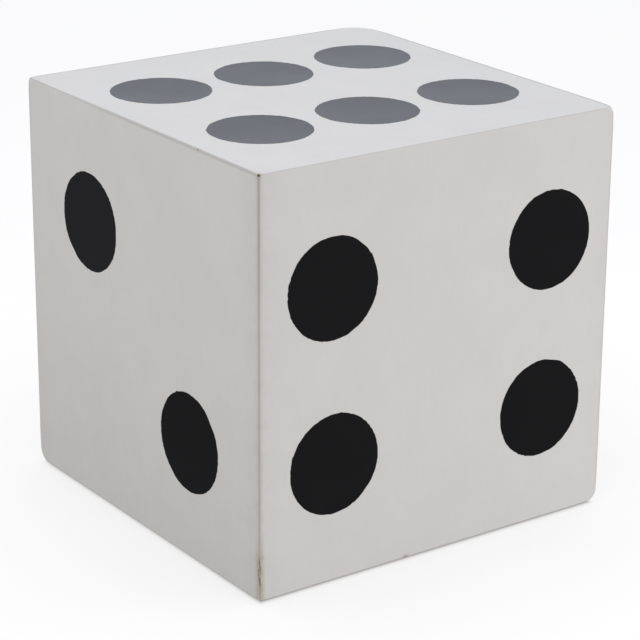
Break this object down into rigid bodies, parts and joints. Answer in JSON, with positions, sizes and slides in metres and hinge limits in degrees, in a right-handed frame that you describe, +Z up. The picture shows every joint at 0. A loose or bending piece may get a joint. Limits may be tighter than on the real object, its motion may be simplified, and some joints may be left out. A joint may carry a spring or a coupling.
{
  "type": "oversized wooden die side table",
  "caption": "Closed cube of mitred painted boards in the shape of an oversized playing die with round black pips, used as a low side table or stool.",
  "frame": {"origin": "on the floor, under the middle of the die: the centre of the box's bottom face, at the glides' underside", "axes": "+Z up, out of the face with six pips; -Y out of the front face, with four pips; -X out of the left face, with two pips"},
  "size_m": [0.406, 0.406, 0.409],
  "materials": {
    "white_paint": "fibreboard under satin white paint, eased edges worn to the brown core in places",
    "black_paint": "thin hand-brushed film of satin black paint",
    "pine": "planed bare pine, pale with brown grain lines",
    "steel": "bright zinc-plated steel",
    "filler": "dry wood filler, sanded flat",
    "nylon": "natural off-white nylon, slightly scuffed"
  },
  "bodies": {
    "root": {"top_board": "white_paint", "bottom_board": "white_paint", "front_board": "white_paint", "back_board": "white_paint", "left_board": "white_paint", "right_board": "white_paint", "top_pips": "black_paint", "front_pips": "black_paint", "left_pips": "black_paint", "right_pips": "black_paint", "back_pips": "black_paint", "bottom_pip": "black_paint", "front_left_post": "pine", "front_right_post": "pine", "back_right_post": "pine", "back_left_post": "pine", "upper_front_batten": "pine", "upper_right_batten": "pine", "upper_back_batten": "pine", "upper_left_batten": "pine", "lower_front_batten": "pine", "lower_right_batten": "pine", "lower_back_batten": "pine", "lower_left_batten": "pine", "front_left_brads": "steel", "front_right_brads": "steel", "back_right_brads": "steel", "back_left_brads": "steel", "top_front_brads": "steel", "top_right_brads": "steel", "top_back_brads": "steel", "top_left_brads": "steel", "top_board_screws": "steel", "upper_wall_screws": "steel", "lower_wall_screws": "steel", "post_screws": "steel", "bottom_board_screws": "steel", "glide_nails": "steel", "nail_hole_filler": "filler", "front_left_glide": "nylon", "front_right_glide": "nylon", "back_right_glide": "nylon", "back_left_glide": "nylon"}
  },
  "joints": []
}
